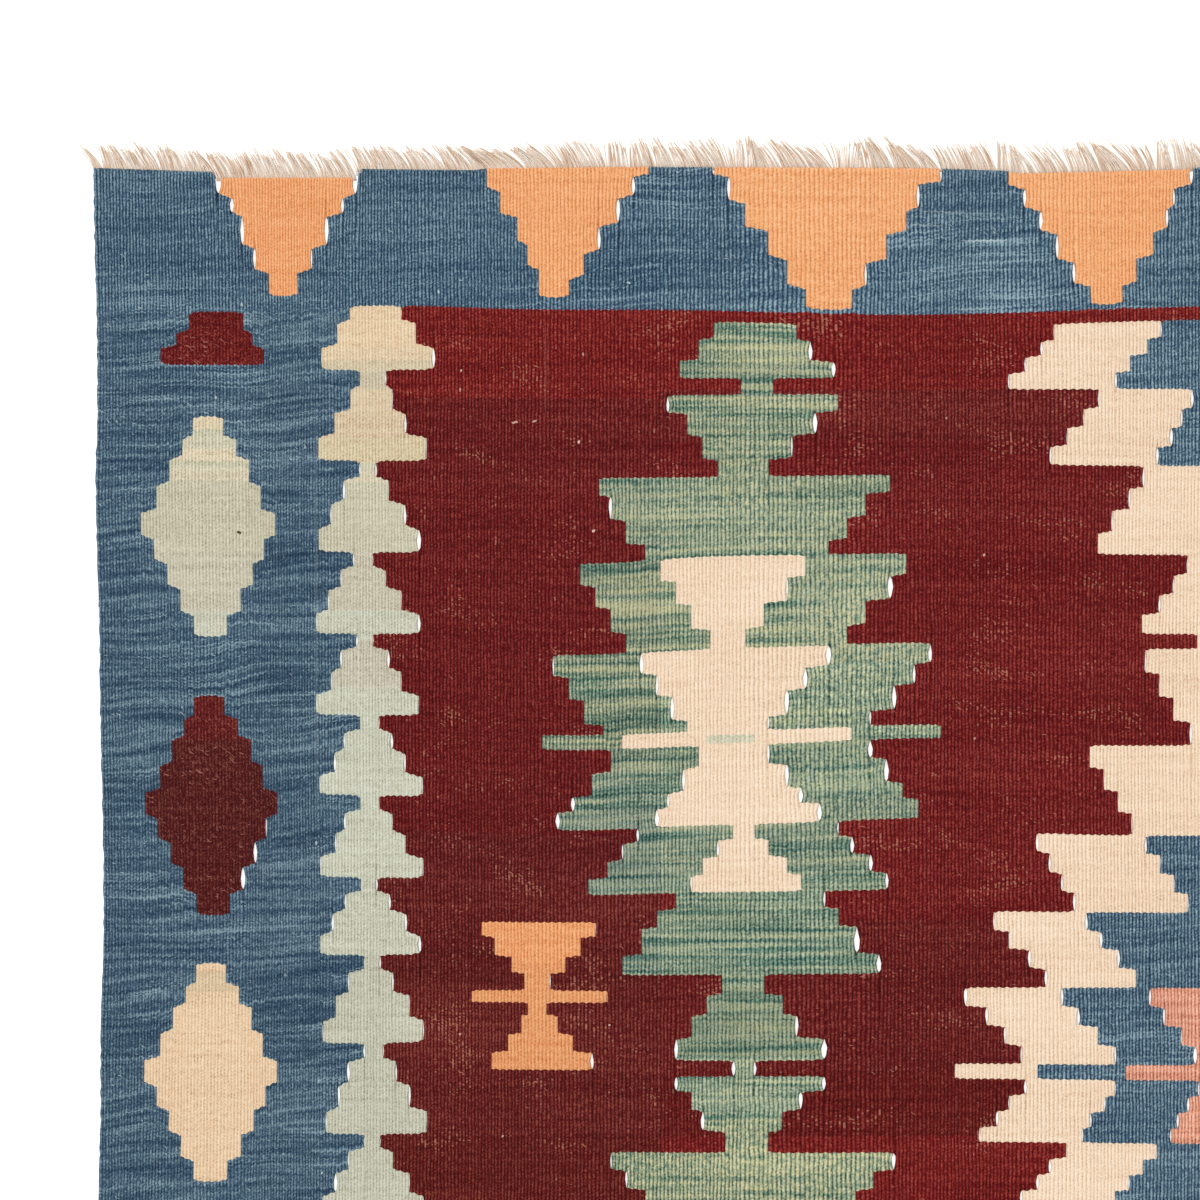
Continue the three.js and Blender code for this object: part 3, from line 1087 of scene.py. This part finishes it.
def wander(tree, place, noise, start):
    """Noise from about -0.5 to 0.5 over a place on the loom."""
    x = add_node(tree, "Math MULTIPLY_ADD", place[0], noise.across, start + noise.start)
    y = add_node(tree, "Math MULTIPLY", place[1], noise.along)
    spot = add_node(tree, "CombineXYZ", x, y)
    cloud = add_node(tree, "TexNoise", noise_dimensions="2D",
                     Vector=spot, Scale=1.0, Detail=noise.detail, Roughness=0.6)
    return add_node(tree, "Math SUBTRACT", cloud, 0.5)


def humps(tree, turns):
    """Round humps about 0, one for each unit of turns."""
    angle = add_node(tree, "Math MULTIPLY", turns, math.pi)
    height = add_node(tree, "Math ABSOLUTE", add_node(tree, "Math SINE", angle))
    return add_node(tree, "Math SUBTRACT", height, HALF_TURN_MEAN)


def layered(tree, ground, *layers):
    """A ground with layers added to it, each one a pattern and how strong it is."""
    for pattern, strength in layers:
        ground = add_node(tree, "Math MULTIPLY_ADD", pattern, strength, ground)
    return ground


def dye_tint(tree, lots, near, along):
    """The tint of the lot of yarn that was woven in at a place."""
    turned = add_node(tree, "Math PINGPONG", along, LOT_TURN)
    share = add_node(tree, "Math DIVIDE", turned, LOT_TURN)
    sides = []
    for side in lots:
        stops = [(start / LOT_TURN, tint) for start, tint in side]
        ramp = add_node(tree, "ValToRGB", share, stops=stops)
        ramp.color_ramp.interpolation = "CONSTANT"
        sides.append(ramp)
    right = add_node(tree, "Math GREATER_THAN", near, nearest_line(LOT_PARTING))
    return add_node(tree, "Mix", right, *sides, **COVER)


def mark_share(tree, marks, loom):
    """How much of a mark covers a place."""
    share = 0.0
    for mark in marks:
        middle = float(np.interp(mark.across, LINES, LINE_NUMBERS))
        size = mark.wide * RIBS / CLOTH_WIDTH, mark.long, 1
        off = add_node(tree, "VectorMath SUBTRACT", loom, (middle, mark.along, 0))
        off = add_node(tree, "VectorMath DIVIDE", off, size)
        off = add_node(tree, "VectorMath LENGTH", off)
        share = layered(tree, share, (add_node(tree, "Math LESS_THAN", off, 1.0), mark.strength))
    return share


def hair_and_glint_share(tree, yarn, place, on_rib, crest):
    """How much of a place lies under stray hairs, which lie aslant, or under a painted highlight
    on beads high on a rib, standing for light caught there. Both come in loose crowds."""
    start = YARN_START * yarn.number
    rib, along = place
    crowd = wander(tree, place, CROWDS, start)
    slanted = rib, layered(tree, along, (rib, -HAIR_SLANT))
    hairs = layered(tree, wander(tree, slanted, HAIRS, start), (crowd, HAIR_CROWD))
    hairs = add_node(tree, "Math GREATER_THAN", hairs, HAIR_AT - HAIR_MORE * yarn.hairs)
    hairs = add_node(tree, "Math MULTIPLY", hairs, HAIR_SHARE)
    # painted highlights: beads high on a crest, standing for light caught there
    worn = layered(tree, wander(tree, on_rib, GLINT_BEADS, start), (crowd, GLINT_CROWD))
    worn = add_node(tree, "Math GREATER_THAN", worn, GLINT_AT)
    high = add_node(tree, "Math GREATER_THAN", crest, GLINT_CREST)
    worn = add_node(tree, "Math MULTIPLY", worn, high)
    worn = add_node(tree, "Math MULTIPLY", worn, GLINT_SHARE * yarn.worn)
    return add_node(tree, "Math MAXIMUM", hairs, worn)


def wool_weft(yarn):
    """Hand-spun wool weft, beaten down over the warps: matt ribs of small slanting beads, with
    painted shade in their valleys and painted light on their humps, streaked where one skein
    took more dye than the next, with a few pale hairs and painted highlights on the crests."""
    material, tree = blank_material(yarn.name.replace("_weft", " wool weft, hand-spun and dyed"))
    loom = add_node(tree, "UVMap", uv_map="loom")
    rib, along, _ = add_node(tree, "SeparateXYZ", loom).outputs
    place = rib, along
    near = add_node(tree, "Math PINGPONG", rib, RIBS / 2)
    start = YARN_START * yarn.number

    # The ribs wander a little, and each is uneven in its own way along its length. Their crests
    # are
    # painted lighter and their valleys darker: painted shade, partly for the shade that falls
    # into the valleys and partly for darker dye there.
    wandering = layered(tree, rib, (wander(tree, place, RIB_PATH, start), RIB_WANDER))
    number = add_node(tree, "Math FLOOR", wandering)
    over = add_node(tree, "Math FRACT", wandering)
    on_rib = number, along
    crest = humps(tree, wandering)
    painted_rib_depth = layered(tree, PAINTED_RIB_SHADE, (wander(tree, on_rib, RIB_DEPTH, start), RIB_UNEVEN))
    shifted = add_node(tree, "Math MULTIPLY", number, BEAD_SHIFT)
    bead = humps(tree, layered(tree, shifted, (along, 1 / BEAD), (over, BEAD_SLANT)))

    # The skein's streaks and bands, or its mottles
    streak = yarn.streak
    mottles = 0.0
    streak_place = place
    if yarn.number == SAGE:
        mottled = add_node(tree, "Attribute", attribute_name="mottled").outputs["Fac"]
        streak = layered(tree, streak, (mottled, -MOTTLED_CALM * streak))
        mottles = wander(tree, place, MOTTLES, start)
        mottles = layered(tree, MOTTLE_LIFT, (mottles, MOTTLE_SHADE))
        mottles = add_node(tree, "Math MULTIPLY", mottles, mottled)
    if yarn.number == INDIGO:
        beside = add_node(tree, "Math LESS_THAN", near, nearest_line(SIDE_WIDE))
        below = add_node(tree, "Math GREATER_THAN", along, FIELD_TOP)
        in_side = add_node(tree, "Math MULTIPLY", beside, below)
        # painted rib shade is weaker in the side border
        calm_rib_shade = layered(tree, 1.0, (in_side, SIDE_RIB - 1))
        painted_rib_depth = add_node(tree, "Math MULTIPLY", painted_rib_depth, calm_rib_shade)
        strong_streaks = layered(tree, 1.0, (in_side, SIDE_STREAK - 1))
        streak = add_node(tree, "Math MULTIPLY", streak, strong_streaks)
        waves = wander(tree, place, STREAK_WAVES, start)
        streak_place = rib, layered(tree, along, (waves, WAVE_REACH), (near, SIDE_SLOPE))
    banding = layered(tree, mottles, (wander(tree, streak_place, STREAKS, start), streak))
    grain = wander(tree, place, GRAIN, start)
    shade = layered(
        tree, EVEN_SHADE,
        (banding, 1),
        (wander(tree, place, BANDS, start), yarn.band),
        (wander(tree, on_rib, THREADS, start), THREAD_SHADE * yarn.grain),
        (grain, GRAIN_SHADE * yarn.grain),
        # painted light on the beads' humps, painted shade between them
        (bead, PAINTED_BEAD_SHADE),
        # painted shade: crests lighter, valleys darker
        (add_node(tree, "Math MULTIPLY", crest, painted_rib_depth), yarn.rib),
    )
    if yarn.number == INDIGO:
        runs = wander(tree, streak_place, PALE_RUNS, start)
        runs = layered(tree, runs, (wander(tree, place, PALE_CROWDS, start), PALE_DRIFT))
        runs = add_node(tree, "Math GREATER_THAN", runs, PALE_PICKS)
        shade = layered(tree, shade, (runs, PALE_SHADE))

    # The dyed colour, its lots, and what lies over it
    stops = zip(SHADE_STOPS, (yarn.deep, yarn.low, yarn.mid, yarn.high))
    dyed = add_node(tree, "ValToRGB", shade, stops=stops)
    if yarn.number in DYE_LOTS:
        lots = dye_tint(tree, DYE_LOTS[yarn.number], near, along)
        dyed = add_node(tree, "Mix", 1.0, dyed, lots, **TINT)
    if yarn.number == SAGE:
        turn = add_node(tree, "Math ADD", banding, SAGE_TURN_MIDDLE)
        turn = add_node(tree, "ValToRGB", turn, stops=SAGE_TURNS)
        dyed = add_node(tree, "Mix", 1.0, dyed, turn, **TINT)
    # pale stray hairs, and painted highlights on beads high on the crests
    if yarn.hairs or yarn.worn:
        hairs_and_glints = hair_and_glint_share(tree, yarn, place, on_rib, crest)
        dyed = add_node(tree, "Mix", hairs_and_glints, dyed, linear(yarn.hair), **COVER)
    if yarn.number in MARKS:
        marked = mark_share(tree, MARKS[yarn.number], loom)
        shade = linear(MARK_SHADES[yarn.number])
        dyed = add_node(tree, "Mix", marked, dyed, shade, **COVER)
    relief = layered(tree, grain, (bead, BEAD_SWELL))
    bump = add_node(tree, "Bump", Height=relief, Strength=0.6, Distance=BEAD_RELIEF * MM)
    shader = add_node(
        tree, "BsdfPrincipled", Base_Color=dyed, Roughness=0.92, Normal=bump,
        Specular_IOR_Level=0.1, Sheen_Weight=0.04, Sheen_Roughness=0.5,
    )
    add_node(tree, "OutputMaterial", shader)
    return material


# How the warp ends lie, going in from the corner. Past the last row they come round again.
FRINGE_LIE = table(
    "across lean reach",
    (0, 0.55, 11), (30, 0.65, 11.5), (68, 0.5, 10.5), (84, 0.55, 12.5), (115, 0.5, 14),
    (156, 0.55, 13.5), (176, 0.6, 10.5), (226, 0.8, 12), (247, 1.4, 9), (270, 1.1, 10),
    (292, 0.6, 14), (316, 0.15, 13.5), (342, 0.35, 15), (368, 0.6, 12), (392, 0.1, 16),
    (415, 0.7, 13.5), (437, 1, 12), (457, 0.1, 14.5), (480, 0.6, 16), (502, 0.95, 11.5),
    (530, 0.4, 13), (550, 0.2, 16), (568, 0.85, 13), (590, 0.5, 14), (605, 0.5, 15),
    (625, 0.9, 13.5), (642, 0.15, 15), (662, 0.1, 15),
)
STRIP = 2.2  # the CAD strip outside the cloth's edge, where its locks begin
TUCK = 2.0  # how far a strand starts inside the cloth
PLIES = (-0.66, 0, 0.66)  # the plies that show at a warp end, in halves of a rib
STRAND_STATIONS = 7
STRAND_SIDES = 3
STRAND_ROOT = 0.5  # radius
STRAND_TIP = 0.38

# How the warp ends gather in locks, and how uneven locks and strands are
LOCK_RIBS = 3.7  # warp ends in one lock
LOCK_SWAY = 0.4  # how unevenly the warp ends are shared out
LOCK_SWAY_TURN = 0.7
LOCK_LEAN = 0.1
LOCK_REACH = 0.07
STRAND_CUT = (0.74, 1.08)
STRAND_LEAN = 0.05
GATHER = (0, 0.3)  # how far a strand goes over to the middle of its lock
BOW = 1.5
CURL = 0.35
CURL_TURNS = (3, 7)
CURL_START = (0, 6.3)

# Heights over the floor: a strand leaves the cloth at one height, comes to its own, and droops
ROOT_HEIGHT = 1.1
OWN_HEIGHT = (0.45, 1.5)
RISE = 1.8  # how soon in its length it comes there
DROOP = 0.25
LOWEST = 0.35
MAP_LENGTH = 12  # of a strand in its map of the loom


def strand_lines(seed):
    """The middle lines of one fringe's strands at the head end, from root to tip."""
    chance = np.random.default_rng(seed)
    rib = np.repeat(np.arange(RIBS), len(PLIES))
    count = len(rib)
    halves = 2.0 * rib + 1 + np.tile(PLIES, RIBS)
    root_x, root_y = on_floor(halves, np.zeros(count))
    across = (root_x + CLOTH_WIDTH / 2) % FRINGE_LIE[-1].across
    lock = np.floor(rib / LOCK_RIBS + LOCK_SWAY * np.sin(rib * LOCK_SWAY_TURN)).astype(int)
    locks = int(lock.max()) + 2
    lean = eased(FRINGE_LIE, "across", "lean", across)
    lean = lean + LOCK_LEAN * chance.normal(size=locks)[lock]
    reach = eased(FRINGE_LIE, "across", "reach", across) + STRIP
    reach = reach * (1 + LOCK_REACH * chance.normal(size=locks)[lock])
    reach = reach * chance.uniform(*STRAND_CUT, count)
    lean = lean + STRAND_LEAN * chance.normal(size=count)
    members = [lock == number for number in range(locks)]
    middle = np.array([root_x[own].mean() if own.any() else 0 for own in members])
    gather = (middle[lock] - root_x) * chance.uniform(*GATHER, count)
    share = np.linspace(0, 1, STRAND_STATIONS)[None, :]
    curl = chance.uniform(-CURL, CURL, (count, 1))
    turns = chance.uniform(*CURL_TURNS, (count, 1))
    curl = curl * np.sin(share * turns + chance.uniform(*CURL_START, (count, 1))) * share
    away = (lean * reach)[:, None] * share ** BOW
    x = root_x[:, None] - away + gather[:, None] * share + curl
    y = root_y[:, None] - TUCK + (reach + TUCK)[:, None] * share
    own_height = chance.uniform(*OWN_HEIGHT, (count, 1))
    settled = np.clip(share * RISE, 0, 1)
    z = ROOT_HEIGHT + (own_height - ROOT_HEIGHT) * settled - DROOP * share
    return np.stack([x, y, np.maximum(z, LOWEST)], axis=2)


def warp_ends(name, seed, turned):
    """The warps' cut ends at one end of the rug, as fine strands gathered in loose locks."""
    centres = strand_lines(seed)
    if turned:
        centres[..., :2] *= -1
    count = len(centres)
    share = np.linspace(0, 1, STRAND_STATIONS)
    way = np.gradient(centres, axis=1)
    way /= np.linalg.norm(way, axis=2, keepdims=True)
    level_side = np.stack([way[..., 1], -way[..., 0], np.zeros_like(way[..., 0])], axis=2)
    level_side /= np.linalg.norm(level_side, axis=2, keepdims=True)
    upward = np.cross(level_side, way)
    radius = (STRAND_ROOT + (STRAND_TIP - STRAND_ROOT) * share)[None, :, None]
    rings = []
    for side in range(STRAND_SIDES):
        turn = 2 * math.pi * side / STRAND_SIDES + math.pi / 2
        rings.append(centres + radius * (math.cos(turn) * level_side + math.sin(turn) * upward))
    points = np.stack(rings, axis=2).reshape(-1, 3)
    corners = STRAND_STATIONS * STRAND_SIDES
    ring = np.arange(corners).reshape(STRAND_STATIONS, STRAND_SIDES)
    beyond = np.roll(ring, -1, axis=1)
    quads = np.stack([ring[:-1], beyond[:-1], beyond[1:], ring[1:]], axis=2).reshape(-1, 4)
    caps = [ring[0][::-1].tolist(), ring[-1].tolist()]
    faces = []
    for base in range(0, count * corners, corners):
        faces += (quads + base).tolist()
        faces += [[corner + base for corner in cap] for cap in caps]
    mesh, corner_of = new_mesh(name, points, faces)
    mesh.shade_smooth()
    low, high = points.min(axis=0), points.max(axis=0)
    spread_map(mesh, "OFBake", *((points - low) / (high - low))[corner_of, :2].T)
    number = np.repeat(np.arange(count), corners)[corner_of].astype(float)
    out = np.repeat(np.tile(share, count), STRAND_SIDES)[corner_of] * MAP_LENGTH
    spread_map(mesh, "loom", number, out)
    return placed(mesh)


# The wool of a warp end changes from one end to the next, and a little along it.
WARP_TURNS = (0.73, 0.07, 1)
WARP_STOPS = ((0.25, "#dcb898"), (0.5, "#f1dfcd"), (0.75, "#fffaf3"))


def wool_warp():
    """Undyed hand-spun wool warp: matt, cream to beige from one end to the next, and a
    little darker where the ends lie close."""
    material, tree = blank_material("undyed wool warp, hand-spun")
    loom = add_node(tree, "UVMap", uv_map="loom")
    spread = add_node(tree, "VectorMath MULTIPLY", loom, WARP_TURNS)
    noise = add_node(tree, "TexNoise", noise_dimensions="2D", Vector=spread, Scale=1, Detail=2)
    wool = add_node(tree, "ValToRGB", noise, stops=WARP_STOPS)
    shader = add_node(
        tree, "BsdfPrincipled", Base_Color=wool, Roughness=0.9, Specular_IOR_Level=0.15,
    )
    add_node(tree, "OutputMaterial", shader)
    return material


# The cloth, one piece for each yarn colour, and the fringes
def dress(piece, material, node):
    """Gives a piece its yarn and its place in the frame, and hides the CAD part that it stands
    for.
    """
    piece.data.materials.append(material)
    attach(piece, "root")
    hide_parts(node)
    return piece


woven = weave_pieces()
for yarn in YARNS:
    piece = yarn_piece(yarn.name, woven[yarn.number])
    dress(piece, wool_weft(yarn), "woven_cloth")

warp_yarn = wool_warp()
for node, seed, turned in (("fringe_head", 3, False), ("fringe_foot", 4, True)):
    piece = warp_ends(node.replace("fringe", "warp_ends"), seed, turned)
    dress(piece, warp_yarn, node)

# The studio: a plain pale floor, lit from below too, and soft light from the upper left
FLOOR_SIDE = 60.0
FLOOR_DROP = 0.0004  # metres, so that the floor and the cloth's back don't share a plane
FLOOR_GLOW = 0.65
DAYLIGHT = 0.85
KEY_LIGHT = 1.0
KEY_SOFTNESS = 25  # degrees
KEY_TILT = -38


def floor():
    """Matt white acrylic, lit from inside: pale, even and without a reflection."""
    half = FLOOR_SIDE / 2
    corners = [(-half, -half, 0), (half, -half, 0), (half, half, 0), (-half, half, 0)]
    mesh = bpy.data.meshes.new("floor")
    mesh.from_pydata(corners, [], [(0, 1, 2, 3)])
    material, tree = blank_material("white lit table, acrylic")
    shader = add_node(
        tree, "BsdfPrincipled", Base_Color=linear("#d8d8d8"), Roughness=0.9,
        Emission_Color=(1, 1, 1, 1), Emission_Strength=FLOOR_GLOW, Specular_IOR_Level=0.1,
    )
    add_node(tree, "OutputMaterial", shader)
    mesh.materials.append(material)
    made = placed(mesh)
    made.location.z = -FLOOR_DROP


def lights():
    scene = bpy.context.scene
    scene.world = bpy.data.worlds.new("soft daylight")
    scene.world.use_nodes = True
    background = scene.world.node_tree.nodes["Background"]
    background.inputs["Color"].default_value = (1, 1, 1, 1)
    background.inputs["Strength"].default_value = DAYLIGHT
    sun = placed(bpy.data.lights.new("key", "SUN"))
    sun.data.energy = KEY_LIGHT
    sun.data.angle = math.radians(KEY_SOFTNESS)
    sun.rotation_euler = (math.radians(KEY_TILT), math.radians(KEY_TILT), 0)
    scene.view_settings.view_transform = "Standard"


floor()
lights()
